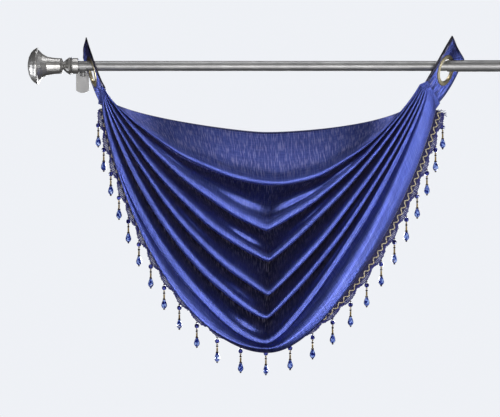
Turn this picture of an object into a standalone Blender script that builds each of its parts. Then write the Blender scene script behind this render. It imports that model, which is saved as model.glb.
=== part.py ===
# Waterfall valance: a swag of blue cloth that hangs by two grommet tabs from a telescoping curtain rod.
#
# Frame: X along the rod, Y towards the wall, Z up. The origin is the middle of the left bracket's
# wall face. Cloth sizes below are in millimetres: x from the middle of the swag, drop below the
# rod's axis, and out from the axis towards the room.
import math
from collections import namedtuple

import bmesh
import bpy
import numpy as np
from mathutils import Matrix, Vector

MM = 0.001
GAP = 0.3  # between pieces that touch

# The rod and its place from the origin
ROD_OUT = 89.0  # rod axis in front of the wall
ROD_UP = 20.0  # rod axis above the middle of the wall plate
SWAG_X = 413.0  # middle of the swag from the left wall plate
SPAN = 966.0  # between the two wall plates
CUP_X = 8.0  # from a plate's middle to its cup's, along the rod
INNER_R = 11.1  # seven eighths of an inch tube
OUTER_R = 12.7  # one inch tube
TUBE_WALL = 1.2
JOINT_X = 396.0  # end of the outer tube, from the middle of the swag
OVERLAP = 120.0  # of the inner tube in the outer one
ROD_END = 9.4  # from a cup's middle to the tube's end

# The bracket
PLATE_WIDE = 29.0
PLATE_HIGH = 68.0
PLATE_THICK = 4.0
PLATE_END_R = 22.7  # the radius of the plate's rounded ends
ARM_R = 5.0
ARM_SIDES = 20
ARM_X = 4.0  # arm axis from the plate's middle, along the rod
ARM_DOWN = 10.0  # arm axis below the rod axis
CUP_WIDE = 14.0
CUP_THICK = 3.4
CUP_SWEEP = 250.0  # degrees of the cup round the rod, open at the top
SCREW_R = 6.5
SCREW_SIDES = 16
SCREW_HIGH = 9.0
SCREW_BEVEL = 1.0
SINK = 1.0  # how far one part of the bracket runs into another
PLATE_ARC_STEPS = 8
CUP_STEPS = 20

# The finial's profile: (distance from the cup's middle, radius)
FINIAL = [(121, 0), (120.4, 9), (118, 20), (113.5, 29.5), (108, 35.5), (103, 38.6), (101, 40.2), (98.5, 40.2),
          (97.4, 36), (95, 33), (88, 26), (78, 20.4), (63, 17.8), (49, 17), (47, 17.6), (45.5, 15), (42.7, 8.6),
          (36, 14.5), (30, 18.6), (27.2, 19), (26, 16), (24.5, 20.4), (22.8, 16), (21.5, 17.4)]
FINIAL_END_R = 17.2  # where it meets the tube
PLUG_LONG = 18.0  # of the finial in the tube
PLUG_BEVEL = 0.5
SEGMENTS = 28  # round a turned piece

# The cloth
CLOTH = 1.2
TAB_THICK = 2.4
TAB_LONG = 130.0
TAB_WIDE = 88.0
TAB_CURL = 1.5
TAB_STEPS = 8  # of the sheet along each of its sides
SEAM_GAP = 2.0  # between a tab's lower edge and the drape's end
RING_R = 35.0
RING_HOLE = 25.0
RING_THICK = 6.4
RING_BEVEL = 1.5
RING_SIDES = 32
CHANNEL = 29.0  # the bottom of the ring's groove
TAB_HOLE = 30.2  # the cut hole, which sits in the groove
FLAT_ROUND = 3.0  # how far the cloth lies flat outside the ring
TRIM_WIDE = 21.0
TRIM_START = 2.0  # the braid's inner edge, out from the hem
TRIM_SCALLOP = 3.0
TRIM_SHORT = 2.0  # of the hem left bare at each seam
TRIM_STEPS = 4  # of the braid for each drop
DROPS = 25
DROP_EASE, DROP_WAVE, DROP_STILL = 5.3, 9.6, 12.1  # how far the drops crowd, over how many, and which stays
DROP_PROFILE = [(-4, 1.1), (5, 1.1), (10.8, 4.8), (16, 1.2), (30, 1.3), (43, 7.2), (49, 6.4), (58, 1.0)]

# Each tab is a flat rectangle: its middle, the way up along it, and the way across it from the
# front edge to the back one, all as (x, drop, out), and how far its ring sits above its middle.
Tab = namedtuple("Tab", "middle along across ring_up")
TABS = {"left": Tab((-383.2, 14.3, 0.0), (-0.32, -0.875, -0.363), (-0.147, 0.424, -0.894), 2.4),
        "right": Tab((391.2, 10.7, 0.0), (0.47, -0.819, -0.33), (0.375, 0.524, -0.765), 1.5)}

# Each fold of the drape, from the top edge down. A fold runs from a point on each seam to the
# middle. It sags below a straight line by sag * t**lean * (1 - t), with t from 0 to 1, soft is how
# wide the turn in the middle is, from a sharp point at 0, and bulge is how far it swells out between.
Fold = namedtuple("Fold", "name mid_x mid_drop mid_out tuck soft "
                          "left_x left_drop left_out left_sag left_lean left_bulge "
                          "right_x right_drop right_out right_sag right_lean right_bulge")
FOLDS = [
    Fold("top", 0, 147, 40, 0, 0.10, -353, 61, 50, 48, 0.30, 0, 335, 50, 46, 81, 0.30, 0),
    Fold("ridge_1", 10, 258, 66, 34, 0.10, -352.5, 53.5, 61, 111, 0.65, 0, 331, 44.5, 57, 170, 0.85, 0),
    Fold("ridge_2", -1, 359, 70, 42, 0.03, -352.5, 56.5, 62, 144, 0.85, 0, 333, 46.5, 58, 140, 0.85, 0),
    Fold("ridge_3", 3, 425, 72, 44, 0.03, -352.5, 59.5, 62, 198, 0.75, 0, 335.5, 48.5, 58, 108, 0.80, 0),
    Fold("ridge_4", 2, 500, 72, 42, 0.03, -353, 62.5, 62, 227, 0.70, 0, 338, 50.5, 58, 141, 0.80, 0),
    Fold("ridge_5", -3, 550, 70, 37, 0.04, -354.5, 65.5, 59, 300, 0.70, 0, 341, 52, 56, 165, 0.70, 0),
    Fold("ridge_6", -6, 605, 66, 26, 0.12, -358.5, 66, 45, 288, 0.45, 3, 346, 51, 49, 114, 0.50, 0),
    Fold("ridge_7", 0, 617, 62, 0, 0.20, -359.5, 73.5, 23.6, 430, 0.64, 8, 355, 58.5, 33, 241, 0.75, 8),
    Fold("under", 0, 627, 34, 0, 0.25, -362.7, 80, 4, 367, 0.62, 8, 366.5, 75, 9, 245, 0.85, 26),
    Fold("hem", -17.5, 605.5, -8, 0, 0.25, -355.2, 85.6, -15.5, 346, 0.664, 4, 372, 94.4, -12, 326, 0.83, 46),
]
COLUMNS = 44  # of the drape, along the folds
CROWD = 1.5  # how much the columns crowd towards the seams
PINCH_TUCK = 0.3  # depth of a tuck at the seam
STEEPEST = 0.55  # the depth of a tuck is never more than this share of the way to the next ridge
RISE = 0.7  # how soon a fold comes out to its full reach, from a sine at 1
BULGE_AT = 0.6  # how near the seam a bulge lies, from half way at 1
# The cloth under a ridge: where each point lies as a share of the way down to the next ridge, at the
# seam and in the middle, and its depth as a share of the fold's tuck.
Under = namedtuple("Under", "name seam_share mid_share depth")
UNDERS = [
    Under("lip", 0.22, 0.03, 0.45),
    Under("valley", 0.44, 0.10, 1.0),
    Under("tread", 0.64, 0.50, 0.56),
    Under("shoulder", 0.82, 0.78, 0.20),
]
TROUGH = 6.0  # depth of the shallow trough above the first ridge
# The way the trim leaves the hem: (x, drop, out)
TRIM_WAY = {"left": (-0.86, 0.42, -0.28), "mid": (0.0, 0.75, -0.66), "right": (0.85, 0.45, -0.30)}


def place(x, drop, out):
    """A point of the cloth, in metres in the part's frame."""
    return np.array([SWAG_X + x, -(ROD_OUT + out), ROD_UP - drop]) * MM


def blend(pair, t):
    return pair[0] + (pair[1] - pair[0]) * t


def material(name, colour, roughness, metallic=0.0):
    made = bpy.data.materials.new(name)
    made.use_nodes = True
    shader = made.node_tree.nodes["Principled BSDF"]
    shader.inputs["Base Color"].default_value = (*colour, 1.0)
    shader.inputs["Roughness"].default_value = roughness
    shader.inputs["Metallic"].default_value = metallic
    return made


def add_object(name, mesh, finish):
    mesh.materials.clear()
    mesh.materials.append(finish)
    made = bpy.data.objects.new(name, mesh)
    bpy.context.collection.objects.link(made)
    return made


def mesh_from(name, points, faces):
    mesh = bpy.data.meshes.new(name)
    mesh.from_pydata([tuple(p) for p in points], [], faces)
    work = bmesh.new()
    work.from_mesh(mesh)
    bmesh.ops.recalc_face_normals(work, faces=work.faces)
    work.to_mesh(mesh)
    work.free()
    return mesh


def turned(name, profile, segments=SEGMENTS, closed=False):
    """A solid turned about X from (x, radius) points in millimetres; a closed profile makes a tube."""
    angles = [2 * math.pi * k / segments for k in range(segments)]
    points, rings, faces = [], [], []
    for x, radius in profile:
        if radius == 0:
            rings.append([len(points)])
            points.append((x * MM, 0, 0))
            continue
        rings.append(list(range(len(points), len(points) + segments)))
        points += [(x * MM, radius * MM * math.cos(a), radius * MM * math.sin(a)) for a in angles]
    pairs = list(zip(rings, rings[1:] + rings[:1] if closed else rings[1:]))
    for one, two in pairs:
        for k in range(segments):
            n = (k + 1) % segments
            if len(one) == 1:
                faces.append((one[0], two[n], two[k]))
            elif len(two) == 1:
                faces.append((one[k], one[n], two[0]))
            else:
                faces.append((one[k], one[n], two[n], two[k]))
    if not closed:
        for ring, way in ((rings[0], 1), (rings[-1], -1)):
            if len(ring) > 1:
                faces.append(tuple(ring[::way]))
    mesh = mesh_from(name, points, faces)
    mesh.shade_smooth()
    mesh.set_sharp_from_angle(angle=math.radians(35))
    return mesh


def thick_sheet(name, grid, thickness):
    """A closed sheet of even thickness about a grid of points, rows by columns, in metres."""
    rows, columns = grid.shape[:2]
    down = np.gradient(grid, axis=0)
    along = np.gradient(grid, axis=1)
    normal = np.cross(along, down)
    normal /= np.linalg.norm(normal, axis=2, keepdims=True)
    front = grid + normal * thickness * MM / 2
    back = grid - normal * thickness * MM / 2
    points = np.concatenate([front.reshape(-1, 3), back.reshape(-1, 3)])
    lower = rows * columns

    def index(i, j):
        return i * columns + j

    faces = []
    for i in range(rows - 1):
        for j in range(columns - 1):
            quad = (index(i, j), index(i, j + 1), index(i + 1, j + 1), index(i + 1, j))
            faces.append(quad)
            faces.append(tuple(lower + k for k in quad[::-1]))
    rim = [index(0, j) for j in range(columns)]
    rim += [index(i, columns - 1) for i in range(1, rows)]
    rim += [index(rows - 1, j) for j in range(columns - 2, -1, -1)]
    rim += [index(i, 0) for i in range(rows - 2, 0, -1)]
    for a, b in zip(rim, rim[1:] + rim[:1]):
        faces.append((b, a, lower + a, lower + b))
    return mesh_from(name, points, faces)


def turned_in(t, soft):
    """The share of the way down at t, which levels off towards the middle over the width soft."""
    left = 1 - t
    return 1 - (math.hypot(left, soft) - soft) / (math.hypot(1, soft) - soft)


def fold_point(fold, side, t):
    """(x, drop, out) of a fold at t, from 0 at that side's seam to 1 in the middle."""
    keys = ("x", "drop", "out", "sag", "lean", "bulge")
    x, drop, out, sag, lean, bulge = (getattr(fold, f"{side}_{key}") for key in keys)
    down = max(turned_in(t, fold.soft), 0.0)
    reach = blend((out, fold.mid_out), math.sin(math.pi * t / 2) ** RISE)
    return np.array([blend((x, fold.mid_x), t),
                     blend((drop, fold.mid_drop), down) + sag * down ** lean * (1 - down),
                     reach + bulge * math.sin(math.pi * t ** BULGE_AT)])


def section(side, t):
    """The drape's section across its folds at t: a list of (x, drop, out) from top edge to hem."""
    lines = [fold_point(fold, side, t) for fold in FOLDS]
    top, first = lines[0], lines[1]
    trough = np.array([0, 0, TROUGH * t])
    points = [top, top * 0.6 + first * 0.4 - trough / 3, top * 0.2 + first * 0.8 - trough]
    for k in range(1, len(FOLDS) - 3):
        ridge, below = lines[k], lines[k + 1]
        tuck = min(blend((PINCH_TUCK, FOLDS[k].tuck), t ** 0.8), STEEPEST * np.linalg.norm(below - ridge))
        points.append(ridge)
        for under in UNDERS:
            point = ridge + (below - ridge) * blend((under.seam_share, under.mid_share), t)
            point[2] -= tuck * under.depth
            points.append(point)
    return points + lines[-3:]


def with_between(points, rounded):
    """The points, with one more on a smooth curve before each that rounded names."""
    full = []
    for k, point in enumerate(points):
        if k in rounded:
            before = points[max(k - 2, 0)]
            after = points[min(k + 1, len(points) - 1)]
            full.append((9 * (points[k - 1] + point) - before - after) / 16)
        full.append(point)
    return full


def drape_columns():
    """(side, t) of each column, from the left seam to the right one."""
    half = COLUMNS // 2
    left = [("left", (k / half) ** CROWD) for k in range(half + 1)]
    right = [("right", (k / half) ** CROWD) for k in range(half - 1, -1, -1)]
    return left + right


def drape_grid():
    columns = []
    for side, t in drape_columns():
        points = section(side, t)
        ridges = set(range(3, len(points), len(UNDERS) + 1)) | {len(points) - 2, len(points) - 1}
        columns.append([place(*p) for p in with_between(points, ridges)])
    return np.array(columns).transpose(1, 0, 2)


def hem_curve(count=400):
    """Points along the hem, the way the trim leaves it there, and how far along they are."""
    hem = FOLDS[-1]
    steps = [("left", (k / count) ** 2) for k in range(1, count + 1)]
    steps += [("right", (k / count) ** 2) for k in range(count - 1, 0, -1)]
    ways = {key: np.array(way) / np.linalg.norm(way) for key, way in TRIM_WAY.items()}
    points, leaving = [], []
    for side, t in steps:
        way = blend((ways[side], ways["mid"]), t ** 1.5)
        points.append(fold_point(hem, side, t))
        leaving.append(way / np.linalg.norm(way))
    points, leaving = np.array(points), np.array(leaving)
    along = np.concatenate([[0], np.cumsum(np.linalg.norm(np.diff(points, axis=0), axis=1))])
    return points, leaving, along


def drop_place(k, length):
    """The distance along a hem of that length to drop k, counted from 0.5; its waves crowd the drops."""
    return length / DROPS * k - DROP_EASE * math.sin(math.pi * (k - DROP_STILL) / DROP_WAVE)


def trim_point(curve, distance, width):
    """(x, drop, out) at a distance along the hem and a width out from it."""
    points, leaving, along = curve
    at = np.array([np.interp(distance, along, points[:, k]) for k in range(3)])
    way = np.array([np.interp(distance, along, leaving[:, k]) for k in range(3)])
    return at + way * width


def strand_mesh(work, top):
    """A bead drop of four sides, hanging straight down from a point of the trim."""
    rings = []
    for down, radius in DROP_PROFILE:
        ring = []
        for k in range(4):
            turn = math.pi / 2 * k + math.pi / 4
            x, y = radius * math.cos(turn) * MM, radius * math.sin(turn) * MM
            ring.append(work.verts.new(Vector(top) + Vector((x, y, -down * MM))))
        rings.append(ring)
    work.faces.new(rings[0])
    work.faces.new(rings[-1][::-1])
    for one, two in zip(rings, rings[1:]):
        for k in range(4):
            n = (k + 1) % 4
            work.faces.new((one[k], two[k], two[n], one[n]))


def joined_by_union(target, tool):
    """Unites the tool with the target by a modifier; the tool itself is left out of the part."""
    tool.hide_render = True
    tool.display_type = "WIRE"
    cut = target.modifiers.new("join", "BOOLEAN")
    cut.operation = "UNION"
    cut.solver = "EXACT"
    cut.use_self = True
    cut.object = tool


def make_trim(finish):
    """The braid along the hem in three lengths, each with its bead drops fused to its outer edge."""
    curve = hem_curve()
    length = curve[2][-1]
    lengths = (("trim_left", 0, 9), ("trim_bottom", 9, 16), ("trim_right", 16, DROPS))
    for name, first, last in lengths:
        start, end = drop_place(first, length) + GAP, drop_place(last, length) - GAP
        columns = []
        for k in range(first * TRIM_STEPS, last * TRIM_STEPS + 1):
            distance = min(max(drop_place(k / TRIM_STEPS, length), start, TRIM_SHORT), end, length - TRIM_SHORT)
            bulge = TRIM_SCALLOP * math.sin(math.pi * k / TRIM_STEPS) ** 2
            widths = (TRIM_START, (TRIM_WIDE + bulge) / 2, TRIM_WIDE + bulge)
            columns.append([place(*trim_point(curve, distance, width)) for width in widths])
        grid = np.array(columns).transpose(1, 0, 2)
        braid = add_object(name, thick_sheet(name, grid, CLOTH), finish)
        work = bmesh.new()
        for k in range(first, last):
            tip = trim_point(curve, drop_place(k + 0.5, length), TRIM_WIDE + TRIM_SCALLOP)
            strand_mesh(work, place(*tip))
        bmesh.ops.recalc_face_normals(work, faces=work.faces)
        mesh = bpy.data.meshes.new(f"{name}_drops")
        work.to_mesh(mesh)
        work.free()
        joined_by_union(braid, add_object(f"{name}_drops", mesh, finish))


def direction(x, drop, out):
    return Vector((x, -out, -drop)).normalized()


def make_tab(side, cloth, metal):
    """A tab with its round hole, and the ring that grips its edge there."""
    tab = TABS[side]
    middle, along, across = Vector(place(*tab.middle)), direction(*tab.along), direction(*tab.across)
    face = along.cross(across)
    low, high, half_wide = -TAB_LONG / 2 + SEAM_GAP, TAB_LONG / 2, TAB_WIDE / 2
    corners = [(low, -half_wide), (low, half_wide), (high, half_wide), (high, -half_wide)]
    outline = []
    for (a, b), (c, d) in zip(corners, corners[1:] + corners[:1]):
        outline += [(blend((a, c), k / TAB_STEPS), blend((b, d), k / TAB_STEPS)) for k in range(TAB_STEPS)]
    loops = [outline]
    for radius in (RING_R + FLAT_ROUND, TAB_HOLE):
        turns = [math.atan2(b, a - tab.ring_up) for a, b in outline]
        loops.append([(tab.ring_up + radius * math.cos(turn), radius * math.sin(turn)) for turn in turns])

    def curl(a, b):
        return TAB_CURL * (abs(a) / high) ** 4 * math.cos(1.1 * math.pi * b / half_wide)

    points, faces = [], []
    for half in (0.5, -0.5):
        for number, loop in enumerate(loops):
            for a, b in loop:
                lift = (curl(a, b) if number == 0 else 0.0) + half * TAB_THICK
                points.append(middle + (along * a + across * b + face * lift) * MM)
    count = len(outline)
    layer = 3 * count
    for k in range(count):
        n = (k + 1) % count
        for ring in range(2):
            quad = (ring * count + k, ring * count + n, (ring + 1) * count + n, (ring + 1) * count + k)
            faces.append(quad)
            faces.append(tuple(layer + q for q in quad[::-1]))
        for ring in (0, 2):
            base = ring * count
            faces.append((base + k, base + n, layer + base + n, layer + base + k))
    add_object(f"tab_{side}", mesh_from(f"tab_{side}", points, faces), cloth)

    slot = TAB_THICK / 2 + GAP
    half = RING_THICK / 2
    side_half = [(slot, CHANNEL), (slot, RING_R), (half - RING_BEVEL / 2, RING_R - RING_BEVEL),
                 (half, RING_HOLE + RING_BEVEL), (half - RING_BEVEL, RING_HOLE)]
    profile = side_half + [(-x, radius) for x, radius in reversed(side_half)]
    ring = add_object(f"grommet_{side}", turned(f"grommet_{side}", profile, RING_SIDES, closed=True), metal)
    turn = Matrix((face, along, face.cross(along))).transposed().to_4x4()
    ring.matrix_world = Matrix.Translation(middle + along * tab.ring_up * MM) @ turn


def rod_point(x, up=0.0):
    """A point above or below the rod's axis, in metres."""
    return Vector((x, -ROD_OUT, ROD_UP + up)) * MM


def tube_profile(start, end, radius):
    inside = radius - TUBE_WALL
    return [(start, radius), (end, radius), (end, inside), (start, inside)]


def make_rod(metal):
    joint = SWAG_X + JOINT_X
    ends = {"rod_inner": (CUP_X - ROD_END, joint + OVERLAP, INNER_R),
            "rod_outer": (joint, SPAN - CUP_X + ROD_END, OUTER_R)}
    for name, (start, end, radius) in ends.items():
        tube = add_object(name, turned(name, tube_profile(start, end, radius), closed=True), metal)
        tube.location = rod_point(0)


def make_finial(side, metal):
    radius = (INNER_R if side == "left" else OUTER_R) - TUBE_WALL - GAP
    end = ROD_END + GAP
    profile = FINIAL + [(end, FINIAL_END_R), (end, radius), (end - PLUG_LONG, radius - PLUG_BEVEL)]
    made = add_object(f"finial_{side}", turned(f"finial_{side}", profile), metal)
    if side == "left":
        made.rotation_euler = (0, 0, math.pi)
        made.location = rod_point(CUP_X)
    else:
        made.location = rod_point(SPAN - CUP_X)


def prism(name, outline, depth):
    """A solid from an outline in X and Z, carried along Y from 0 to -depth, in millimetres."""
    count = len(outline)
    points = [(x * MM, 0, z * MM) for x, z in outline]
    points += [(x * MM, -depth * MM, z * MM) for x, z in outline]
    faces = [tuple(range(count)), tuple(range(2 * count - 1, count - 1, -1))]
    faces += [(k, (k + 1) % count, count + (k + 1) % count, count + k) for k in range(count)]
    return mesh_from(name, points, faces)


def plate_outline():
    widest = math.asin(PLATE_WIDE / 2 / PLATE_END_R)
    middle = PLATE_HIGH / 2 - PLATE_END_R
    arc = [widest - 2 * widest * k / PLATE_ARC_STEPS for k in range(PLATE_ARC_STEPS + 1)]
    top = [(PLATE_END_R * math.sin(a), middle + PLATE_END_R * math.cos(a)) for a in arc]
    return top + [(-x, -z) for x, z in top]


def make_bracket(side, metal):
    x, inwards = (0.0, 1) if side == "left" else (SPAN, -1)
    cup_x = x + inwards * CUP_X
    rod_r = INNER_R if side == "left" else OUTER_R
    name = f"bracket_{side}"
    plate = add_object(name, prism(name, plate_outline(), PLATE_THICK), metal)
    plate.location = (x * MM, 0, 0)
    cup_in, cup_out = rod_r + GAP, rod_r + GAP + CUP_THICK

    arm_start = PLATE_THICK - SINK
    arm_long = ROD_OUT - cup_out + SINK - arm_start
    arm = add_object(f"{name}_arm", turned(f"{name}_arm", [(arm_long, ARM_R), (0, ARM_R)], ARM_SIDES), metal)
    arm.rotation_euler = (0, 0, -math.pi / 2)
    arm.location = Vector((x + inwards * ARM_X, -arm_start, ROD_UP - ARM_DOWN)) * MM
    joined_by_union(plate, arm)

    sweep = math.radians(CUP_SWEEP)
    angles = [-math.pi / 2 - sweep / 2 + sweep * k / CUP_STEPS for k in range(CUP_STEPS + 1)]
    ring = [(cup_out * math.cos(a), cup_out * math.sin(a)) for a in angles]
    ring += [(cup_in * math.cos(a), cup_in * math.sin(a)) for a in reversed(angles)]
    cup = add_object(f"{name}_cup", prism(f"{name}_cup", ring, CUP_WIDE), metal)
    cup.rotation_euler = (0, 0, math.pi / 2)
    cup.location = rod_point(cup_x - CUP_WIDE / 2)
    joined_by_union(plate, cup)

    neck, crown, end_r = 2 * SCREW_BEVEL, SCREW_HIGH - SCREW_BEVEL, SCREW_R - SCREW_BEVEL
    screw_profile = [(0, end_r), (neck, SCREW_R), (crown, SCREW_R), (SCREW_HIGH, end_r)]
    screw = add_object(f"{name}_screw", turned(f"{name}_screw", screw_profile, SCREW_SIDES), metal)
    screw.rotation_euler = (0, math.pi / 2, 0)
    screw.location = rod_point(cup_x, SINK - cup_out)
    joined_by_union(plate, screw)


def main():
    for old in list(bpy.data.objects):
        bpy.data.objects.remove(old, do_unlink=True)
    silk = material("blue_silk", (0.045, 0.06, 0.36), 0.42)
    braid = material("navy_braid", (0.03, 0.03, 0.16), 0.7)
    nickel = material("satin_nickel", (0.48, 0.47, 0.45), 0.32, 1.0)
    brass = material("antique_brass", (0.50, 0.44, 0.30), 0.35, 1.0)
    add_object("drape", thick_sheet("drape", drape_grid(), CLOTH), silk)
    make_trim(braid)
    make_rod(nickel)
    for side in ("left", "right"):
        make_tab(side, silk, brass)
        make_finial(side, nickel)
        make_bracket(side, nickel)


main()
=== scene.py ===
"""Looks of a waterfall valance: a swag of royal blue slubbed silk that hangs by two grommet tabs from a rod.

Places on the cloth are in millimetres, as (x, drop, out): x from the middle of the swag, drop below
the rod's axis, and out from that axis towards the room.
"""
import math
import random
from collections import namedtuple

import bmesh
import bpy
import numpy as np
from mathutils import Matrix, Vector


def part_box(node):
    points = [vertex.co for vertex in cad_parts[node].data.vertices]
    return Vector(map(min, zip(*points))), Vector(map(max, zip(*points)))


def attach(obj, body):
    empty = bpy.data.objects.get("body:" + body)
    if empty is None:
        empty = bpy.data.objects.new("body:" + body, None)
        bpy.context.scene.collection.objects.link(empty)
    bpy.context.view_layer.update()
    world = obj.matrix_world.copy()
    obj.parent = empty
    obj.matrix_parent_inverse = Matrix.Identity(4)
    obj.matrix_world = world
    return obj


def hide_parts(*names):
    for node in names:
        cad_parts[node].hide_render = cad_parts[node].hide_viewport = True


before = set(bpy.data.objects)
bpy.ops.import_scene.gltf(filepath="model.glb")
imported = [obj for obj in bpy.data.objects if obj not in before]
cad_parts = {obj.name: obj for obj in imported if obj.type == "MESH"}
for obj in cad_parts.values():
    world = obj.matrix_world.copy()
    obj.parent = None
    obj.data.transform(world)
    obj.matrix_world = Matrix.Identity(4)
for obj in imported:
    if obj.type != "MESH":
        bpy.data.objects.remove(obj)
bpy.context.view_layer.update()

MM = 0.001
ROD_LOW, ROD_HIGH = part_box("rod_inner")
ROD_OUT = -(ROD_LOW.y + ROD_HIGH.y) / 2 / MM
ROD_UP = (ROD_LOW.z + ROD_HIGH.z) / 2 / MM
SWAG_X = 413.0  # middle of the swag from the left wall plate

# Each fold of the drape, from the top edge down. A fold runs from a point on each seam to the
# middle, and t goes from 0 to 1 on the way. Its sag is how far it hangs below a straight line, and a
# low lean brings that nearer the seam. Tuck is how deep the cloth goes in under it in the middle, soft
# how wide its turn there is, from a sharp point at 0, and bulge how far it swells out on the way.
Fold = namedtuple("Fold", "name mid_x mid_drop mid_out tuck soft "
                          "left_x left_drop left_out left_sag left_lean left_bulge "
                          "right_x right_drop right_out right_sag right_lean right_bulge")
FOLDS = [
    Fold("top", 0, 147, 45, 0, 0.10, -353, 61, 50, 48, 0.30, 0, 335, 50, 46, 81, 0.30, 0),
    Fold("ridge_1", 10, 258, 66, 50, 0.10, -352.5, 53.5, 61, 111, 0.65, 0, 331, 44.5, 57, 170, 0.85, 0),
    Fold("ridge_2", -1, 359, 70, 62, 0.008, -352.5, 56.5, 62, 144, 0.85, 0, 333, 46.5, 58, 140, 0.85, 0),
    Fold("ridge_3", 3, 425, 72, 64, 0.008, -352.5, 59.5, 62, 198, 0.75, 0, 335.5, 48.5, 58, 108, 0.80, 0),
    Fold("ridge_4", 2, 500, 72, 62, 0.008, -353, 62.5, 62, 227, 0.70, 0, 338, 50.5, 58, 141, 0.80, 0),
    Fold("ridge_5", -3, 550, 70, 54, 0.02, -354.5, 65.5, 59, 300, 0.70, 0, 341, 52, 56, 165, 0.70, 0),
    Fold("ridge_6", -6, 605, 66, 11, 0.12, -358.5, 66, 45, 288, 0.45, 3, 346, 51, 49, 114, 0.50, 0),
    Fold("ridge_7", 0, 617, 66, 0, 0.20, -359.5, 73.5, 23.6, 430, 0.64, 8, 355, 58.5, 33, 241, 0.75, 8),
    Fold("under", 0, 627, 50, 0, 0.25, -362.7, 80, 4, 367, 0.62, 8, 366.5, 75, 9, 245, 0.85, 26),
    Fold("hem", -17.5, 605.5, -8, 0, 0.25, -355.2, 85.6, -15.5, 346, 0.664, 4, 372, 94.4, -12, 326, 0.83, 46),
]
COLUMNS = 208  # of the drape, along the folds
CROWD = 1.5  # how much the columns crowd towards the seams
PINCH_TUCK = 7.0  # depth of a tuck at the seam
RISE = 0.7  # how soon a fold comes out to its full reach, from a sine at 1
BULGE_AT = 0.6  # how near the seam a bulge lies, from half way at 1
# The cloth under a ridge: where each point lies as a share of the way down to the next ridge, at the
# seam and in the middle, then at the sides and in the middle its depth, as a share of the fold's tuck,
# and how much shade is painted on it for the light that the folds above keep from it.
Under = namedtuple("Under", "name seam_share mid_share side_depth mid_depth side_shade mid_shade")
UNDERS = [
    Under("lip", 0.14, 0.045, 0.06, 0.10, 0.25, 0.15),
    Under("underside", 0.165, 0.03, 0.50, 0.50, 0.9, 0.8),
    Under("valley", 0.20, -0.04, 1.0, 1.0, 1.0, 1.0),
    Under("recess", 0.34, 0.12, 0.74, 0.96, 0.80, 1.0),
    Under("tread", 0.50, 0.48, 0.34, 0.58, 0.20, 0.80),
    Under("shoulder", 0.64, 0.70, 0.10, 0.26, 0.0, 0.50),
    Under("brow", 0.78, 0.84, 0.0, 0.05, 0.0, 0.15),
]
MID_ONLY = 14.0  # how near the middle the middle's depths begin, from evenly at 1
FLAP_AT = (0.4, 0.8)  # its points, as shares of the way from the top edge to the first ridge
FLAP_TROUGH = 3.0  # how deep the flap goes in above that ridge
FLAP_SHADE = 0.36  # how much painted shade it gets, from none at 0
FOLD_SHADES = {"ridge_1": 0.65, "ridge_2": 0.85, "ridge_6": 0.15}  # of folds shaded less than the rest
SILK_THICK = 1.2
# How light the silk is painted from a sewn edge inwards, as shares of this many millimetres: painted
# shade darkens the turned edge, and the row of stitches is darker too
EDGE_SPAN = 32.0
EDGE_SHADES = [(0.0, 0.20), (0.11, 0.30), (0.15, 0.95), (0.235, 1.0), (0.255, 0.50), (0.275, 1.0), (0.5, 1.0)]
# Creases between the ridges: where the point of that name under a fold is pushed out, and how far
Crease = namedtuple("Crease", "fold side t width under push")
CREASES = [
    Crease("ridge_1", "right", 0.84, 0.20, "tread", 15),
    Crease("ridge_1", "right", 0.50, 0.12, "tread", 8),
    Crease("ridge_1", "left", 0.42, 0.16, "tread", 7),
    Crease("ridge_1", "left", 0.86, 0.20, "tread", 12),
    Crease("ridge_2", "left", 0.88, 0.14, "tread", 16),
    Crease("ridge_2", "right", 0.72, 0.14, "tread", 11),
    Crease("ridge_4", "left", 0.84, 0.10, "tread", 9),
    Crease("ridge_3", "left", 0.55, 0.13, "tread", 8),
    Crease("ridge_4", "right", 0.45, 0.12, "tread", 7),
    Crease("ridge_5", "left", 0.90, 0.10, "tread", 12),
    Crease("ridge_5", "right", 0.60, 0.14, "tread", 6),
]
CREASE_LIGHT = 0.5  # how much of the shade a crease takes away
WAVER = 2.2  # how far a ridge wavers up and down
WAVER_WAVES = ((0.6, 9), (0.4, 19))  # its two waves: share, and radians from seam to middle
SEAM_LAP = 5.0  # of the drape over a tab's lower edge
SEAM_APART = 0.4  # between the drape and the tab there
SEAM_SHARE = 0.97  # of the tab's width that the drape is gathered onto
SEAM_SHADE = 0.5  # of a fold's shade that is left at the seam
# Columns that gather the drape onto a tab's lower edge, as shares of the way to its first column
SEAM_STEPS = (0.0, 0.3, 0.6, 0.85)

# Each tab is a rectangle: its middle, the way up along it, and the way across it from the front
# edge to the back one, all as (x, drop, out), how far its ring sits above its middle, which side
# the drape is sewn to, 1 or -1 times the normal, and how far its back edge bulges.
Tab = namedtuple("Tab", "middle along across ring_up seen bulge")
TABS = {"left": Tab((-383.2, 14.3, 0.0), (-0.32, -0.875, -0.363), (-0.147, 0.424, -0.894), 2.4, 1, 0.0),
        "right": Tab((391.2, 10.7, 0.0), (0.47, -0.819, -0.33), (0.375, 0.524, -0.765), 1.5, -1, 8.0)}
TAB_LONG, TAB_WIDE, TAB_THICK = 130.0, 88.0, 2.4
TAB_STEPS, TAB_LOOPS = 80, 36  # points along each edge, and loops from the hole to the edge
TAB_CURL = 1.2  # of its ends, off flat
TAB_GATHER, TAB_CREASE = 26.0, 3.6  # how far the gathers reach up from the seam, and their height
# The gathers' two waves: share, radians a millimetre across the tab, and start
TAB_WAVES = ((0.6, 0.62, 1.0), (0.4, 0.3534, -0.7))
TAB_EDGE_SHADE, TAB_BLUR = 7.0, 3.0  # how wide the painted shade along the doubled front edge is, and how far it fades
TAB_BORDER, TAB_GROOVE = 8.2, 0.7  # the row of stitches round the edge, and how deep it sinks
SEAM_GAP = 2.0  # between the tab's lower edge and its rectangle's
TAB_HOLE = 30.2  # its radius
RING_R, RING_CLEAR = 35.0, 6.0  # the ring over the hole, and how soon the cloth beyond it leaves flat

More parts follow.
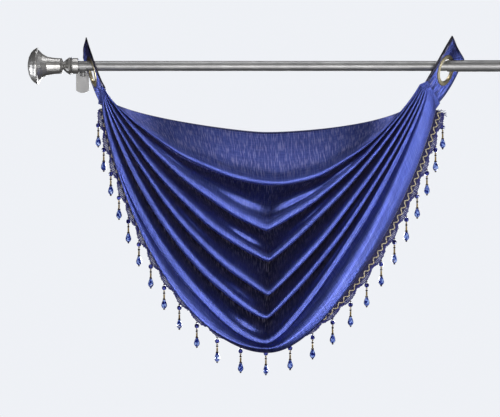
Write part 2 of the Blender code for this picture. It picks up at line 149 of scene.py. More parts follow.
# The trim
TRIM_WAY = {"left": (-0.86, 0.42, -0.28), "mid": (0.0, 0.75, -0.66), "right": (0.85, 0.45, -0.30)}
TRIM_WIDE = 21.0
TRIM_SCALLOP = 3.0
TRIM_END, CORD_END = 2.0, 3.0  # how far the trim and its cord stop short of the seams
DROPS = 25
DROP_EASE, DROP_WAVE, DROP_STILL = 5.3, 9.6, 12.1  # how far the drops crowd, over how many, and which stays
BRAID_WIDE, BRAID_THICK, BRAID_STEP = 15.0, 1.2, 2.2
BRAID_ROWS = (1.0, 4.5, 8.0, 11.5, BRAID_WIDE)
CORD_WIDTH_AT, CORD_PROUD = 9.0, 1.7  # middle of the gold cord, out from the hem and proud of the braid
CORD_STEP = 0.9
CORD_SWING = 3.6
CORD_PERIOD = 17.6
CORD_R, CORD_BULGE = 1.15, 0.35  # its radius, and how far its twist makes that vary
CORD_TWIST = 4.4
SCALLOP_RISE = TRIM_WIDE - BRAID_WIDE + TRIM_SCALLOP  # of the lace outside the braid
SCALLOP_CORDS = ((1.0, 1.15), (0.66, 0.9), (0.33, 0.9))  # share of the rise, and radius
SCALLOP_STEPS = 24
LACE_LOOPS, LOOP_STEPS, LOOP_R = 16, 12, 0.75  # of each scallop, of each loop, and their yarn
TUFT, TUFT_R = 22, 0.5  # frayed ends at the right seam
YARN_SIDES = 5

# The camera stands level with the middle of the swag, at the photograph's distance.
CAMERA_BACK = 4323.0
CAMERA_X = -37.4
CAMERA_DROP = 313.5
LENS_MM, SENSOR_MM = 141.5, 36.0
FLOOR_Z, FLOOR_R, FLOOR_INNER_R, FLOOR_SIDES = -1.15, 3.2, 0.05, 96  # height and radii in metres


def place(x, drop, out):
    """A point of the cloth, in metres in the part's frame."""
    return np.array([SWAG_X + x, -(ROD_OUT + out), ROD_UP - drop]) * MM


def direction(x, drop, out):
    return Vector((x, -out, -drop)).normalized()


def blend(pair, t):
    return pair[0] + (pair[1] - pair[0]) * t


def bell(distance, width):
    return np.exp(-(distance / width) ** 2)


# Materials

class Look:
    """A material, with short calls for adding nodes and linking them."""

    def __init__(self, name, colour, roughness, **sockets):
        self.material = bpy.data.materials.new(name)
        self.material.use_nodes = True
        self.tree = self.material.node_tree
        self.shader = self.tree.nodes["Principled BSDF"]
        self.shader.inputs["Base Color"].default_value = (*colour, 1.0)
        self.shader.inputs["Roughness"].default_value = roughness
        for socket, value in sockets.items():
            self.shader.inputs[socket.replace("_", " ")].default_value = value

    def add(self, kind, feeds=None, **settings):
        node = self.tree.nodes.new(f"ShaderNode{kind}")
        for key, value in settings.items():
            setattr(node, key, value)
        for socket, value in (feeds or {}).items():
            if isinstance(value, bpy.types.NodeSocket):
                self.tree.links.new(value, node.inputs[socket])
            else:
                node.inputs[socket].default_value = value
        return node

    def feed(self, socket, output):
        self.tree.links.new(output, self.shader.inputs[socket])

    def cloth_places(self, stretch):
        """The flat cloth's own coordinates, in metres, times a stretch each way."""
        at = self.add("Attribute", attribute_name="cloth").outputs["Vector"]
        return self.add("Mapping", {"Vector": at, "Scale": (*stretch, 1.0)}).outputs["Vector"]

    def object_places(self, stretch):
        at = self.add("TexCoord").outputs["Object"]
        return self.add("Mapping", {"Vector": at, "Scale": stretch}).outputs["Vector"]

    def noise(self, places, scale, detail=2.0, roughness=0.5):
        feeds = {"Vector": places, "Scale": scale, "Detail": detail, "Roughness": roughness}
        return self.add("TexNoise", feeds).outputs["Fac"]

    def waves(self, way, scale):
        """Fine bands across the cloth one way, a little uneven."""
        feeds = {"Vector": self.cloth_places((1.0, 1.0)), "Scale": scale, "Distortion": 0.6}
        return self.add("TexWave", feeds, bands_direction=way).outputs["Fac"]

    def span(self, value, source, target):
        feeds = {"Value": value, "From Min": source[0], "From Max": source[1],
                 "To Min": target[0], "To Max": target[1]}
        return self.add("MapRange", feeds).outputs[0]

    def ramp(self, value, stops):
        node = self.add("ValToRGB", {"Fac": value})
        elements = node.color_ramp.elements
        while len(elements) < len(stops):
            elements.new(0.5)
        for element, (position, colour) in zip(elements, stops):
            element.position = position
            shade = colour if isinstance(colour, tuple) else (colour, colour, colour)
            element.color = (*shade, 1.0)
        return node.outputs["Color"]

    def sum(self, kind, a, b):
        return self.add("Math", {0: a, 1: b}, operation=kind).outputs[0]

    def mix(self, kind, share, a, b):
        node = self.add("Mix", data_type="RGBA", blend_type=kind)
        for index, value in ((0, share), (6, a), (7, b)):
            if isinstance(value, bpy.types.NodeSocket):
                self.tree.links.new(value, node.inputs[index])
            else:
                node.inputs[index].default_value = value if index == 0 else (*value, 1.0)
        return node.outputs[2]

    def bump(self, height, distance, strength=1.0, under=None):
        feeds = {"Height": height, "Distance": distance, "Strength": strength}
        if under is not None:
            feeds["Normal"] = under
        return self.add("Bump", feeds).outputs["Normal"]


def make_silk():
    """Slubbed faux silk: blue threads one way and dark ones the other, so it is near black where it
    faces away from the light and bright blue where it shines. Painted shade darkens it under the folds and
    along its sewn edges, and it is darker along a row of stitches."""
    look = Look("blue_silk", (0.09, 0.12, 0.50), 0.46, Coat_Weight=0.08, Coat_Roughness=0.34,
                Sheen_Roughness=0.55, Sheen_Tint=(0.42, 0.30, 0.55, 1.0))
    # A stretch of 620 by 26 gives streaks of about 1.6 mm by 38 mm.
    down_slubs = look.noise(look.cloth_places((620.0, 26.0)), 1.0, 3.0, 0.6)
    across_slubs = look.noise(look.cloth_places((22.0, 520.0)), 1.0, 3.0, 0.6)
    cloudy = look.noise(look.cloth_places((9.0, 9.0)), 1.0, 2.0)
    slubs = look.sum("ADD", look.sum("MULTIPLY", down_slubs, 0.6), look.sum("MULTIPLY", across_slubs, 0.4))
    blue = look.ramp(slubs, [(0.34, (0.045, 0.062, 0.29)),
                             (0.50, (0.080, 0.114, 0.47)),
                             (0.66, (0.155, 0.205, 0.58))])
    clouds = look.ramp(cloudy, [(0.3, 0.80), (0.7, 1.0)])
    colour = look.mix("MULTIPLY", 1.0, blue, clouds)

    # Painted shade: where the shade attribute says the folds above keep the light off, the colour is mixed
    # towards near black, with pale slub streaks left in it.
    shade = look.add("Attribute", attribute_name="shade").outputs["Fac"]
    streaks = look.noise(look.cloth_places((400.0, 45.0)), 1.0, 2.0, 0.5)
    dim = look.ramp(streaks, [(0.50, (0.004, 0.003, 0.010)), (0.66, (0.36, 0.33, 0.46))])
    colour = look.mix("MIX", look.sum("MULTIPLY", shade, 0.94), colour, dim)
    look.feed("Metallic", look.span(shade, (0.0, 1.0), (0.93, 0.80)))
    # Painted shade along the sewn edges
    from_edge = look.add("Attribute", attribute_name="from_edge").outputs["Fac"]
    edge_shade = look.ramp(look.sum("DIVIDE", from_edge, EDGE_SPAN), EDGE_SHADES)
    colour = look.mix("MULTIPLY", 1.0, colour, edge_shade)
    look.feed("Base Color", colour)
    look.feed("Roughness", look.span(slubs, (0.3, 0.7), (0.37, 0.48)))
    sheen = look.span(slubs, (0.46, 0.62), (0.0, 0.26))
    look.feed("Sheen Weight", look.sum("MULTIPLY", sheen, look.span(shade, (0.0, 1.0), (1.0, 0.2))))

    weave = look.bump(look.sum("ADD", look.waves("X", 550.0), look.waves("Y", 480.0)), 0.00012, 0.5)
    look.feed("Normal", look.bump(slubs, 0.0006, 0.7, under=weave))
    return look.material


def make_yarn(name, colour, shade, roughness=0.75):
    look = Look(name, colour, roughness, Sheen_Weight=0.03)
    fluff = look.noise(look.object_places((900.0, 900.0, 900.0)), 1.0, 2.0)
    look.feed("Base Color", look.ramp(fluff, [(0.35, shade), (0.65, colour)]))
    look.feed("Normal", look.bump(fluff, 0.0003, 0.6))
    return look.material


def make_metal(name, colour, roughness, stretch, worn):
    look = Look(name, colour, roughness, Metallic=0.8)
    grain = look.noise(look.object_places(stretch), 1.0, 4.0, 0.6)
    blotch = look.noise(look.object_places((25.0, 25.0, 25.0)), 1.0, 3.0)
    tint = look.ramp(blotch, [(0.35, worn), (0.65, colour)])
    look.feed("Base Color", tint)
    look.feed("Roughness", look.span(grain, (0.3, 0.7), (roughness - 0.07, roughness + 0.08)))
    look.feed("Normal", look.bump(grain, 0.00004, 0.5))
    return look.material


def make_glass(name, deep, colour, painted_glint, roughness, transmission):
    """Cut glass, with dark and bright patches painted in its colour, standing in for the reflections that its
    facets throw about inside it.
    """
    look = Look(name, colour, roughness, Transmission_Weight=transmission, IOR=1.55, Coat_Weight=0.5)
    inside = look.noise(look.object_places((330.0, 330.0, 190.0)), 1.0, 1.0)
    # Painted reflections: patches of deep colour, of its colour and of bright glint
    look.feed("Base Color", look.ramp(inside, [(0.40, deep), (0.50, colour), (0.60, painted_glint)]))
    return look.material


SILK = make_silk()
BRAID = make_yarn("navy_braid", (0.012, 0.010, 0.080), (0.004, 0.003, 0.028))
LACE = make_yarn("lace_yarn", (0.030, 0.030, 0.22), (0.008, 0.007, 0.085))
CORD = make_yarn("gold_cord", (0.86, 0.76, 0.52), (0.16, 0.12, 0.06), 0.40)
THREAD = make_yarn("blue_thread", (0.03, 0.04, 0.22), (0.015, 0.02, 0.12), 0.6)
NICKEL = make_metal("satin_nickel", (0.30, 0.30, 0.305), 0.50,
                    stretch=(40.0, 2500.0, 2500.0), worn=(0.24, 0.24, 0.245))
TURNED_NICKEL = make_metal("turned_nickel", (0.50, 0.495, 0.49), 0.40,
                           stretch=(2500.0, 60.0, 60.0), worn=(0.38, 0.375, 0.37))
BRASS = make_metal("antique_brass", (0.50, 0.44, 0.30), 0.30,
                   stretch=(900.0, 900.0, 900.0), worn=(0.36, 0.30, 0.19))
NAVY_GLASS = make_glass("navy_glass", (0.006, 0.006, 0.05), (0.015, 0.015, 0.12), (0.10, 0.12, 0.50),
                        roughness=0.08, transmission=0.0)
BLUE_GLASS = make_glass("blue_glass", (0.006, 0.009, 0.12), (0.035, 0.07, 0.46), (0.36, 0.50, 0.94),
                        roughness=0.06, transmission=0.15)
GOLD_BEAD = make_metal("gold_bead", (0.75, 0.55, 0.22), 0.30,
                       stretch=(700.0, 700.0, 700.0), worn=(0.45, 0.30, 0.11))
BRONZE_BEAD = make_metal("bronze_bead", (0.20, 0.14, 0.10), 0.28,
                         stretch=(700.0, 700.0, 700.0), worn=(0.10, 0.07, 0.05))


# Meshes

class Shape:
    """Points and faces gathered for one mesh, in metres."""

    def __init__(self):
        self.points, self.faces = [], []

    def loft(self, rings, closed_ends=True):
        """Skins a list of rings with the same number of points each."""
        base, count = len(self.points), len(rings[0])
        for ring in rings:
            self.points += [tuple(p) for p in ring]
        for r in range(len(rings) - 1):
            one, two = base + r * count, base + (r + 1) * count
            for k in range(count):
                n = (k + 1) % count
                self.faces.append((one + k, one + n, two + n, two + k))
        if closed_ends:
            self.faces.append(tuple(range(base + count - 1, base - 1, -1)))
            self.faces.append(tuple(range(base + (len(rings) - 1) * count, base + len(rings) * count)))

    def tube(self, path, radius, sides=6):
        """A round tube along points in metres, its radius in millimetres, one value or one a point."""
        path = [Vector(p) for p in path]
        radii = radius if hasattr(radius, "__len__") else [radius] * len(path)
        rings = []
        across = None
        for k, point in enumerate(path):
            way = (path[min(k + 1, len(path) - 1)] - path[max(k - 1, 0)]).normalized()
            if across is None:
                across = way.orthogonal().normalized()
            across = (across - way * across.dot(way)).normalized()
            other = way.cross(across)
            rings.append([point + (across * math.cos(a) + other * math.sin(a)) * radii[k] * MM
                          for a in (2 * math.pi * s / sides for s in range(sides))])
        self.loft(rings)

    def bead(self, middle, profile, sides, turn=0.0):
        """A turned bead about the vertical, from (down, radius) in millimetres below middle."""
        rings = []
        for down, radius in profile:
            rings.append([Vector(middle) + Vector((math.cos(a) * radius, math.sin(a) * radius, -down)) * MM
                          for a in (turn + 2 * math.pi * s / sides for s in range(sides))])
        self.loft(rings)

    def made(self, name, finish, slot, smooth=True, sharp=None):
        mesh = bpy.data.meshes.new(name)
        mesh.from_pydata(self.points, [], self.faces)
        work = bmesh.new()
        work.from_mesh(mesh)
        bmesh.ops.recalc_face_normals(work, faces=work.faces)
        work.to_mesh(mesh)
        work.free()
        return add_piece(name, mesh, finish, smooth, sharp)


def add_piece(name, mesh, finish, smooth=True, sharp=None):
    mesh.materials.clear()
    mesh.materials.append(finish)
    if smooth:
        mesh.shade_smooth()
        if sharp is not None:
            mesh.set_sharp_from_angle(angle=math.radians(sharp))
    piece = bpy.data.objects.new(name, mesh)
    bpy.context.collection.objects.link(piece)
    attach(piece, "root")
    return piece


def sheet_mesh(name, grid, cloth, from_edge=None, shade=None):
    """A mesh from a grid of points, rows by columns, with the cloth's flat coordinates on it."""
    rows, columns = grid.shape[:2]
    mesh = bpy.data.meshes.new(name)
    faces = [(i * columns + j, (i + 1) * columns + j, (i + 1) * columns + j + 1, i * columns + j + 1)
             for i in range(rows - 1) for j in range(columns - 1)]
    mesh.from_pydata([tuple(p) for p in grid.reshape(-1, 3)], [], faces)
    extras = (None if values is None else values.ravel() for values in (from_edge, shade))
    add_cloth_places(mesh, cloth.reshape(-1, 2), *extras)
    return mesh


def add_cloth_places(mesh, cloth, from_edge=None, shade=None):
    """Keeps the flat coordinates in metres, the distance from a sewn edge in millimetres, and the shade."""
    for name, values in (("from_edge", from_edge), ("shade", shade)):
        if values is not None:
            attribute = mesh.attributes.new(name, "FLOAT", "POINT")
            attribute.data.foreach_set("value", np.array(values, dtype=float))
    places = mesh.attributes.new("cloth", "FLOAT_VECTOR", "POINT")
    flat = np.zeros((len(mesh.vertices), 3))
    flat[:, :2] = cloth
    places.data.foreach_set("vector", flat.ravel())


def thicken(piece, thickness):
    solid = piece.modifiers.new("thickness", "SOLIDIFY")
    solid.thickness = thickness * MM
    solid.offset = 0.0
    return piece


# The drape

def turned_in(t, soft):
    """The share of the way down at t, which levels off towards the middle over the width soft."""
    left = 1 - t
    return 1 - (math.hypot(left, soft) - soft) / (math.hypot(1, soft) - soft)


def fold_point(fold, side, t):
    """(x, drop, out) of a fold at t, from 0 at that side's seam to 1 in the middle."""
    keys = ("x", "drop", "out", "sag", "lean", "bulge")
    x, drop, out, sag, lean, bulge = (getattr(fold, f"{side}_{key}") for key in keys)
    down = max(turned_in(t, fold.soft), 0.0)
    sagged = blend((drop, fold.mid_drop), down) + sag * down ** lean * (1 - down)
    reach = blend((out, fold.mid_out), math.sin(math.pi * t / 2) ** RISE)
    return np.array([blend((x, fold.mid_x), t),
                     sagged + waver(fold, side, t),
                     reach + bulge * math.sin(math.pi * t ** BULGE_AT)])


def waver(fold, side, t):
    """How far a ridge strays up or down at t. It is none at the seams, in the middle and at the edges."""
    if not fold.tuck:
        return 0.0
    start = fold.mid_drop / 37 + (2.1 if side == "left" else 0.0)  # so that no two ridges waver alike
    waves = sum(share * math.sin(turns * t + (k + 1) * start) for k, (share, turns) in enumerate(WAVER_WAVES))
    return WAVER * waves * math.sin(math.pi * t) ** 0.7


def section(side, t):
    """The drape's section across its folds at t: (x, drop, out, shade) from top edge to hem."""
    lines = [np.append(fold_point(fold, side, t), 0.0) for fold in FOLDS]
    top, first = lines[0], lines[1]
    trough = np.array([0, 0, FLAP_TROUGH * t, 0])
    # The flap gets painted shade as well
    dim = np.array([0, 0, 0, FLAP_SHADE])
    points = [top + dim,
              blend((top, first), FLAP_AT[0]) - trough / 3 + dim,
              blend((top, first), FLAP_AT[1]) - trough + dim]
    for k in range(1, len(FOLDS) - 3):
        ridge, below = lines[k], lines[k + 1]
        tuck = blend((PINCH_TUCK, FOLDS[k].tuck), t ** 0.5)
        deep = FOLD_SHADES.get(FOLDS[k].name, 1.0)
        points.append(ridge)
        for under in UNDERS:
            share = blend((under.seam_share, under.mid_share), t * t)
            point = ridge + (below - ridge) * share
            point[2] -= tuck * blend((under.side_depth, under.mid_depth), t ** MID_ONLY)
            point[3] = blend((under.side_shade, under.mid_shade), t ** MID_ONLY) * deep
            for crease in CREASES:
                if (crease.fold, crease.side, crease.under) == (FOLDS[k].name, side, under.name):
                    push = bell(t - crease.t, crease.width)
                    point[2] += crease.push * push
                    point[3] *= 1 - CREASE_LIGHT * push
            points.append(point)
    return points + lines[-3:]


# How many rows follow each control point of the section: of the flap, of each fold, and of the last band
TOP_ROWS = [8, 8, 6]
FOLD_ROWS = [2, 3, 3, 3, 4, 4, 3, 3]
BAND_ROWS = [10, 9]


def smooth_through(points, counts):
    """Points on a smooth curve through the control points, counts[k] of them after point k."""
    points = np.array(points)
    chords = np.linalg.norm(np.diff(points, axis=0), axis=1) ** 0.5
    knots = np.concatenate([[0], np.cumsum(np.maximum(chords, 1e-3))])
    slopes = np.diff(points, axis=0) / np.diff(knots)[:, None]
    tangents = np.empty_like(points)
    tangents[0], tangents[-1] = slopes[0], slopes[-1]
    steps = np.diff(knots)
    tangents[1:-1] = ((slopes[:-1] * steps[1:, None] + slopes[1:] * steps[:-1, None])
                      / (steps[:-1] + steps[1:])[:, None])
    curve = []
    for k, count in enumerate(counts):
        for s in (n / count for n in range(count)):
            h, step = (1 + 2 * s) * (1 - s) ** 2, steps[k]
            curve.append(h * points[k] + (1 - h) * points[k + 1]
                         + step * (s * (1 - s) ** 2 * tangents[k] - s * s * (1 - s) * tangents[k + 1]))
    return np.array(curve + [points[-1]])


def drape_columns():
    half = COLUMNS // 2
    left = [("left", (k / half) ** CROWD) for k in range(half + 1)]
    right = [("right", (k / half) ** CROWD) for k in range(half - 1, -1, -1)]
    return left + right


def tab_corner(side, across_share):
    """(x, drop, out) where the drape is sewn to a tab, from -1 at its front edge to 1 at its back one."""
    tab = TABS[side]
    along, across = (np.array(way) / np.linalg.norm(way) for way in (tab.along, tab.across))
    face = np.cross(across, along)  # the other way round, because drop and out are left-handed
    low = -TAB_LONG / 2 + SEAM_GAP + SEAM_LAP
    apart = (TAB_THICK + SILK_THICK) / 2 + SEAM_APART
    edge = np.array(tab.middle) + along * low + across * across_share * TAB_WIDE / 2
    return edge + face * tab.seen * apart


def seam_columns(side, first):
    """Columns from a tab's lower edge to the drape's first column."""
    front, back = tab_corner(side, -SEAM_SHARE), tab_corner(side, SEAM_SHARE)
    edge = back - front
    shares = np.clip((first[:, :3] - front) @ edge / (edge @ edge), 0, 1)
    onto = np.column_stack([front + shares[:, None] * edge, first[:, 3] * SEAM_SHADE])
    return [onto + (first - onto) * step for step in SEAM_STEPS]


def drape_grid():
    """The drape's points, and how shaded each is."""
    ridges = len(FOLDS) - 4  # all but the top edge, the last ridge, the underside of the roll and the hem
    counts = TOP_ROWS + FOLD_ROWS * ridges + BAND_ROWS
    columns = [smooth_through(section(side, t), counts) for side, t in drape_columns()]
    columns = seam_columns("left", columns[0]) + columns + seam_columns("right", columns[-1])[::-1]
    grid = np.array(columns).transpose(1, 0, 2)
    return grid[..., :3], np.clip(grid[..., 3], 0, 1)


def cloth_lengths(grid):
    """Flat coordinates: metres along the folds from the middle, and down the middle's section."""
    middle = grid.shape[1] // 2
    along = np.linalg.norm(np.diff(grid, axis=1), axis=2)
    across = np.concatenate([np.zeros((grid.shape[0], 1)), np.cumsum(along, axis=1)], axis=1)
    across -= across[:, middle:middle + 1]
    down = np.linalg.norm(np.diff(grid[:, middle], axis=0), axis=1)
    down = np.concatenate([[0], np.cumsum(down)])
    return np.stack([across, np.repeat(down[:, None], grid.shape[1], axis=1)], axis=2) * MM


def to_metres(grid):
    """The points of place, for a whole grid at once."""
    shift = np.array([SWAG_X, -ROD_OUT, ROD_UP])
    return (grid * np.array([1, -1, -1]) @ np.array([[1, 0, 0], [0, 0, 1], [0, 1, 0]]) + shift) * MM


def make_drape():
    grid, shade = drape_grid()
    cloth = cloth_lengths(grid)
    mesh = sheet_mesh("silk_drape", to_metres(grid), cloth, cloth[..., 1] / MM, shade)
    piece = thicken(add_piece("silk_drape", mesh, SILK), SILK_THICK)
    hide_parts("drape")
    return piece


# The tabs

def make_tab(side):
    """A tab's doubled cloth, as loops of points from its hole to its edge."""
    tab = TABS[side]
    middle, along, across = Vector(place(*tab.middle)), direction(*tab.along), direction(*tab.across)
    face = along.cross(across)
    low, high, half_wide = -TAB_LONG / 2 + SEAM_GAP, TAB_LONG / 2, TAB_WIDE / 2
    corners = [(low, -half_wide), (low, half_wide), (high, half_wide), (high, -half_wide)]
    outline = []
    for (a, b), (c, d) in zip(corners, corners[1:] + corners[:1]):
        outline += [(blend((a, c), k / TAB_STEPS), blend((b, d), k / TAB_STEPS)) for k in range(TAB_STEPS)]

    def crease(b):
        return sum(share * math.sin(turns * b + start) for share, turns, start in TAB_WAVES)

    def shaded(a, b):
        """Painted shade along the doubled front edge, and in the hollows of the gathers."""
        front = min(max((TAB_EDGE_SHADE + TAB_BLUR - half_wide - b) / TAB_BLUR, 0.0), 1.0)
        hollow = min(max(1.5 * -crease(b), 0.0), 1.0)
        return max(front, hollow * 0.8 * math.exp(-(a - low) / TAB_GATHER))

    def lift(a, b):
        """How far the cloth stands off flat: a curl at the ends, gathers at the seam, a stitched border."""
        clear = min(max((math.hypot(a - tab.ring_up, b) - RING_R - 1) / RING_CLEAR, 0.0), 1.0)
        curl = TAB_CURL * (abs(a) / high) ** 4 * math.cos(1.1 * math.pi * b / half_wide)
        gather = -tab.seen * (1 + crease(b)) * math.exp(-(a - low) / TAB_GATHER)
        border = -TAB_GROOVE * bell(min(half_wide - abs(b), high - a) - TAB_BORDER, 1.1)
        return clear * (curl + TAB_CREASE * gather + border)

    points, cloth, from_edge, shade = [], [], [], []
    for ring in range(TAB_LOOPS + 1):
        share = ring / TAB_LOOPS
        for a, b in outline:
            turn = math.atan2(b, a - tab.ring_up)
            inner = (tab.ring_up + TAB_HOLE * math.cos(turn), TAB_HOLE * math.sin(turn))
            x, y = blend((inner[0], a), share), blend((inner[1], b), share)
            bulge = tab.bulge * max(y / half_wide, 0.0) ** 2 * (1 - (x / high) ** 2)
            points.append(middle + (along * x + across * (y + bulge) + face * lift(x, y)) * MM)
            shade.append(shaded(x, y))
            cloth.append((y * MM, x * MM))
            from_edge.append(min(half_wide - abs(y), high - x))
    count = len(outline)
    faces = []
    for ring in range(TAB_LOOPS):
        here, outside = ring * count, (ring + 1) * count
        for k in range(count):
            n = (k + 1) % count
            faces.append((here + k, here + n, outside + n, outside + k))
    mesh = bpy.data.meshes.new(f"silk_tab_{side}")
    mesh.from_pydata([tuple(p) for p in points], [], faces)
    add_cloth_places(mesh, np.array(cloth), from_edge, shade)
    piece = thicken(add_piece(f"silk_tab_{side}", mesh, SILK), TAB_THICK)
    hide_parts(f"tab_{side}")
    return piece


# The trim

def hem_curve(count=600):
    """Points along the hem, the way the trim leaves it, and how far along they are."""
    hem = FOLDS[-1]
    steps = [("left", (k / count) ** 2) for k in range(1, count + 1)]
    steps += [("right", (k / count) ** 2) for k in range(count - 1, 0, -1)]
    ways = {key: np.array(way) / np.linalg.norm(way) for key, way in TRIM_WAY.items()}
    points, leaving = [], []
    for side, t in steps:
        way = blend((ways[side], ways["mid"]), t ** 1.5)
        points.append(fold_point(hem, side, t))
        leaving.append(way / np.linalg.norm(way))
    points, leaving = np.array(points), np.array(leaving)
    along = np.concatenate([[0], np.cumsum(np.linalg.norm(np.diff(points, axis=0), axis=1))])
    return points, leaving, along


HEM = hem_curve()
HEM_LONG = HEM[2][-1]


def drop_place(k):
    """The distance along the hem of drop k, counted from 0.5. The cloth's waves crowd them here and there."""
    return HEM_LONG / DROPS * k - DROP_EASE * math.sin(math.pi * (k - DROP_STILL) / DROP_WAVE)


def trim_point(distance, width, proud=0.0):
    """A place on the trim, in metres: distance along the hem, width out from it, proud of its face."""
    points, leaving, along = HEM
    at = np.array([np.interp(distance, along, points[:, k]) for k in range(3)])
    way = np.array([np.interp(distance, along, leaving[:, k]) for k in range(3)])
    if proud:
        ahead = np.array([np.interp(distance + 2, along, points[:, k]) for k in range(3)])
        face = np.cross(way, ahead - at)
        face *= (1 if face[2] > 0 else -1) / np.linalg.norm(face)
        at = at + face * proud
    return Vector(place(*(at + way * width)))


def make_trim():
    """The braid, the zigzag cord on it, and the lace outside it."""
    count = int(HEM_LONG / BRAID_STEP)
    stations = [TRIM_END + (HEM_LONG - 2 * TRIM_END) * k / count for k in range(count + 1)]
    grid = np.array([[trim_point(s, w) for s in stations] for w in BRAID_ROWS])
    cloth = np.array([[(s * MM, w * MM) for s in stations] for w in BRAID_ROWS])
    braid = thicken(add_piece("braid", sheet_mesh("braid", grid, cloth), BRAID), BRAID_THICK)
    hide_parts("trim_left", "trim_bottom", "trim_right")

    cord = Shape()
    places = np.arange(CORD_END, HEM_LONG - CORD_END, CORD_STEP)
    swings = CORD_WIDTH_AT + CORD_SWING * np.sin(2 * math.pi * places / CORD_PERIOD)
    path = [trim_point(s, width, CORD_PROUD) for s, width in zip(places, swings)]
    cord.tube(path, CORD_R + CORD_BULGE * np.sin(2 * math.pi * places / CORD_TWIST), 6)
    gold = cord.made("gold_cord", CORD, "trim")
    return braid, gold, make_lace()


def make_lace():
    """Scallops of three cords each, with loose loops across them, and frayed ends at the right seam."""
    lace = Shape()
    chance = random.Random(5)
    for k in range(DROPS):
        start = drop_place(k)
        pitch = drop_place(k + 1) - start

        def lace_point(along, width, proud):
            held = min(max(along, TRIM_END), HEM_LONG - TRIM_END)
            return trim_point(held, BRAID_WIDE - 1 + width, proud)

        def edge(share):
            return SCALLOP_RISE * max(math.sin(math.pi * share), 0.0) ** 0.6

        shares = [n / SCALLOP_STEPS for n in range(SCALLOP_STEPS + 1)]
        for rise, radius in SCALLOP_CORDS:
            path = [lace_point(start + pitch * share, rise * edge(share), 0.3) for share in shares]
            lace.tube(path, radius, YARN_SIDES)
        for n in range(LACE_LOOPS):
            share = (n + 0.5) / LACE_LOOPS
            foot = start + pitch * share
            reach = edge(share) + chance.uniform(0.5, 3.0)
            wide = chance.uniform(1.6, 2.5)
            lean = chance.uniform(-1.2, 1.2)
            loop = []
            for m in range(LOOP_STEPS + 1):
                a = 2 * math.pi * m / LOOP_STEPS
                out = (1 - math.cos(a)) / 2
                along = foot + wide * math.sin(a) + lean * out
                loop.append(lace_point(along, reach * out, 0.7 * math.sin(a)))
            lace.tube(loop, LOOP_R, YARN_SIDES)
    for n in range(TUFT):
        root = trim_point(HEM_LONG - TRIM_END, chance.uniform(3, TRIM_WIDE), 0.4)
        way = Vector(direction(1.0, chance.uniform(-0.7, 0.9), chance.uniform(-0.4, 0.6)))
        reach = chance.uniform(5, 12)
        bend = Vector((0, 0, -chance.uniform(0, 4)))
        path = [root + (way * reach * u + bend * u * u) * MM for u in (0, 0.35, 0.7, 1.0)]
        lace.tube(path, TUFT_R, YARN_SIDES)
    return lace.made("lace_scallops", LACE, "trim")


# The outline of each bead of a drop, as (down, radius) from its middle
ROUND_BEAD = [(-5.2, 1.0), (-4.5, 2.9), (-2.7, 4.6), (0, 5.2), (2.7, 4.6), (4.5, 2.9), (5.2, 1.0)]
SMALL_BEAD = [(-2.4, 0.8), (-1.7, 2.0), (0, 2.7), (1.7, 2.0), (2.4, 0.8)]
BUGLE = [(-4.4, 0.9), (-3.9, 1.9), (3.9, 1.9), (4.4, 0.9)]
TEARDROP = [(-10.2, 2.0), (-8.0, 3.1), (-4.0, 4.8), (0.0, 6.0),
            (3.6, 6.4), (6.8, 5.2), (9.0, 3.2), (10.2, 1.5)]
CAP = [(-2.4, 0.9), (-1.6, 2.4), (1.2, 3.4), (2.0, 2.4)]
TIP = [(-1.8, 0.7), (-0.9, 2.0), (0.9, 2.0), (1.8, 0.7)]

# The beads of a drop from the top down: its stuff, how far down its middle lies, its outline and its
# number of sides. The cut ones of a drop are turned together at random.
Bead = namedtuple("Bead", "stuff down outline sides cut")
BEADS = [
    Bead("bronze", 3.0, TIP, 8, False),
    Bead("navy", 10.6, ROUND_BEAD, 10, True),
    Bead("gold", 18.0, TIP, 8, False),
    Bead("bronze", 22.4, SMALL_BEAD, 8, False),
    Bead("gold", 29.4, BUGLE, 8, False),
    Bead("bronze", 35.6, CAP, 8, False),
    Bead("blue", 46.4, TEARDROP, 8, True),
    Bead("bronze", 57.6, TIP, 8, False),
]
THREAD_R, THREAD_FROM, THREAD_TO = 0.35, -4, 56  # radius, and from where to where down the drop


def make_drops():
    shapes = {key: Shape() for key in ("thread", "navy", "blue", "gold", "bronze")}
    chance = random.Random(11)
    for k in range(DROPS):
        top = trim_point(drop_place(k + 0.5), TRIM_WIDE + TRIM_SCALLOP)

        def below(down):
            return top + Vector((0, 0, -down * MM))

        shapes["thread"].tube([below(THREAD_FROM), below(10), below(THREAD_TO)], THREAD_R, YARN_SIDES)
        turn = chance.uniform(0, math.pi)
        for bead in BEADS:
            shapes[bead.stuff].bead(below(bead.down), bead.outline, bead.sides, turn if bead.cut else 0.0)
    return [
        shapes["thread"].made("drop_threads", THREAD, "trim"),
        shapes["navy"].made("round_beads", NAVY_GLASS, "beads", smooth=False),
        shapes["blue"].made("glass_drops", BLUE_GLASS, "beads", smooth=False),
        shapes["gold"].made("gold_beads", GOLD_BEAD, "beads", sharp=40),
        shapes["bronze"].made("bronze_beads", BRONZE_BEAD, "beads", sharp=40),
    ]


# Camera, floor and light

def aim(thing, target):
    thing.rotation_euler = (Vector(target) - thing.location).to_track_quat("-Z", "Y").to_euler()


def add_light(name, location, target, size, power, colour):
    data = bpy.data.lights.new(name, "AREA")
    data.shape = "RECTANGLE"
    data.size, data.size_y = size
    data.energy = power
    data.color = colour
    light = bpy.data.objects.new(name, data)
    bpy.context.collection.objects.link(light)
    light.location = location
    aim(light, target)


def make_stage():
    camera = bpy.data.objects.new("camera", bpy.data.cameras.new("camera"))
    bpy.context.collection.objects.link(camera)
    camera.data.lens, camera.data.sensor_width = LENS_MM, SENSOR_MM
    camera.location = place(CAMERA_X, CAMERA_DROP, CAMERA_BACK)
    camera.rotation_euler = (math.pi / 2, 0, 0)
    bpy.context.scene.camera = camera

    make_floor()
    make_lights()
    make_world()


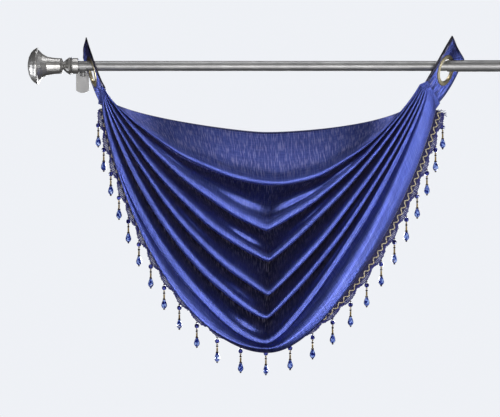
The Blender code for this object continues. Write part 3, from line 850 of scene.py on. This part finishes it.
def make_floor():
    """A pale disc, seen but not mirrored in the cloth or the metal."""
    floor = Shape()
    turns = [2 * math.pi * k / FLOOR_SIDES for k in range(FLOOR_SIDES)]
    floor.loft([[(math.cos(a) * r, math.sin(a) * r, FLOOR_Z) for a in turns]
                for r in (FLOOR_R, FLOOR_INNER_R)])
    mesh = bpy.data.meshes.new("floor")
    mesh.from_pydata(floor.points, [], floor.faces)
    pale = Look("pale_floor", (0.01, 0.01, 0.01), 0.9,
                Specular_IOR_Level=0.0, Emission_Strength=0.9)
    grain = pale.noise(pale.object_places((6.0, 6.0, 6.0)), 1.0, 3.0)
    pale.feed("Emission Color", pale.ramp(grain, [(0.3, 0.64), (0.7, 0.68)]))
    mesh.materials.append(pale.material)
    ground = bpy.data.objects.new("floor", mesh)
    bpy.context.collection.objects.link(ground)
    ground.visible_glossy = ground.visible_diffuse = False


def make_lights():
    """A key in front, a lamp on each side, one over the rod, one below and one behind."""
    centre = place(0, 300, 30)
    add_light("key", place(200, 800, 3300), centre, (0.9, 0.6), 98, (1.0, 0.99, 0.97))
    add_light("side", place(3000, 750, 300), centre, (0.8, 1.2), 50, (0.94, 0.98, 1.0))
    add_light("left", place(-2800, 750, -300), centre, (0.8, 1.2), 40, (0.95, 0.97, 1.0))
    add_light("rod", place(0, -700, 60), place(0, 0, 0), (1.1, 0.2), 5, (1.0, 1.0, 1.0))
    add_light("below", place(0, 2300, 2200), centre, (1.6, 0.6), 16, (0.97, 0.98, 1.0))
    add_light("behind", place(300, 200, -2800), centre, (1.6, 1.2), 70, (0.97, 0.98, 1.0))


def make_world():
    """Pale to the eye, and dim as a light, so that the lamps shape the folds."""
    world = bpy.data.worlds.new("studio")
    bpy.context.scene.world = world
    world.use_nodes = True
    tree = world.node_tree
    seen, lit = tree.nodes["Background"], tree.nodes.new("ShaderNodeBackground")
    seen.inputs["Color"].default_value = (0.86, 0.88, 0.92, 1.0)
    lit.inputs["Color"].default_value = (0.006, 0.005, 0.005, 1.0)
    rays, either = tree.nodes.new("ShaderNodeLightPath"), tree.nodes.new("ShaderNodeMixShader")
    tree.links.new(rays.outputs["Is Camera Ray"], either.inputs[0])
    tree.links.new(lit.outputs[0], either.inputs[1])
    tree.links.new(seen.outputs[0], either.inputs[2])
    tree.links.new(either.outputs[0], tree.nodes["World Output"].inputs["Surface"])
    bpy.context.scene.view_settings.view_transform = "Standard"


def finish_metal():
    for name in ("rod_inner", "rod_outer", "bracket_left", "bracket_right"):
        set_finish(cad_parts[name], NICKEL)
    for name in ("finial_left", "finial_right"):
        set_finish(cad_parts[name], TURNED_NICKEL)
    for name in ("grommet_left", "grommet_right"):
        set_finish(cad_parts[name], BRASS)


def set_finish(node, finish):
    for slot in node.material_slots:
        slot.material = finish


def main():
    drape = make_drape()
    tabs = [make_tab(side) for side in TABS]
    trims = list(make_trim())
    drops = make_drops()
    finish_metal()
    make_stage()


main()
